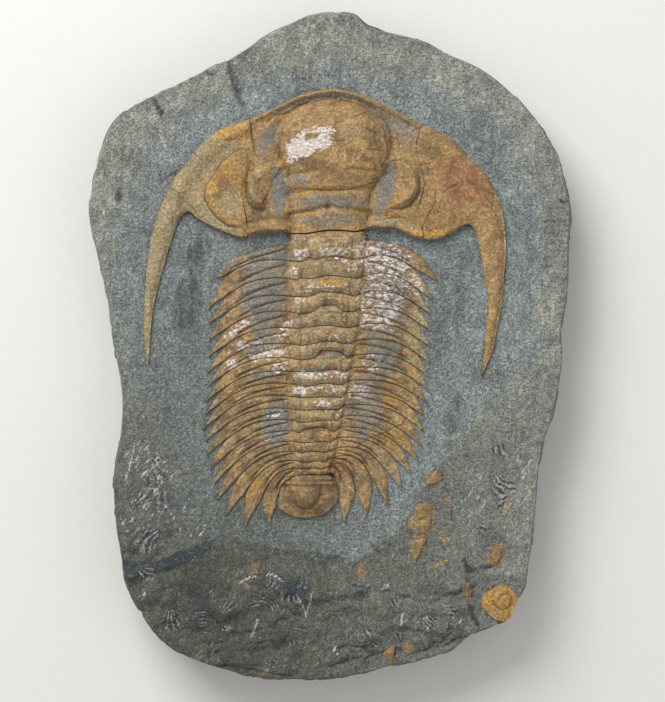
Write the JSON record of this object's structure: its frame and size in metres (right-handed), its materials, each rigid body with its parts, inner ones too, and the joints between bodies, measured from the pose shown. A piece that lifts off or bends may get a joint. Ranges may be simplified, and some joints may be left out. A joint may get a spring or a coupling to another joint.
{
  "type": "trilobite fossil",
  "caption": "Large ochre trilobite in relief on a rounded grey mudstone plate, with a small round shell and loose shell fragments beside it; lies flat on its underside.",
  "frame": {"origin": "the middle of the plate's outline, on its flat underside", "axes": "+Y along the plate towards the trilobite's head, +X to the right when the fossil face is seen from above, +Z out of the fossil face"},
  "size_m": [0.1746, 0.242, 0.0311],
  "materials": {
    "mudstone": "matt blue-grey mudstone: air-abraded and pale round the fossil, rough and brownish below it",
    "ochre_shell": "matt to slightly satin ochre and tan mineral shell, with dark seams and pale scuffs"
  },
  "bodies": {
    "root": {"matrix_slab": "mudstone", "cranidium": "ochre_shell", "left_free_cheek": "ochre_shell", "right_free_cheek": "ochre_shell", "thoracic_segment_01": "ochre_shell", "thoracic_segment_02": "ochre_shell", "thoracic_segment_03": "ochre_shell", "thoracic_segment_04": "ochre_shell", "thoracic_segment_05": "ochre_shell", "thoracic_segment_06": "ochre_shell", "thoracic_segment_07": "ochre_shell", "thoracic_segment_08": "ochre_shell", "thoracic_segment_09": "ochre_shell", "thoracic_segment_10": "ochre_shell", "thoracic_segment_11": "ochre_shell", "thoracic_segment_12": "ochre_shell", "thoracic_segment_13": "ochre_shell", "thoracic_segment_14": "ochre_shell", "thoracic_segment_15": "ochre_shell", "thoracic_segment_16": "ochre_shell", "thoracic_segment_17": "ochre_shell", "thoracic_segment_18": "ochre_shell", "pygidium": "ochre_shell", "small_shell": "ochre_shell", "shell_fragment_1": "ochre_shell", "shell_fragment_2": "ochre_shell", "shell_fragment_3": "ochre_shell", "shell_fragment_4": "ochre_shell", "shell_fragment_5": "ochre_shell"}
  },
  "joints": []
}
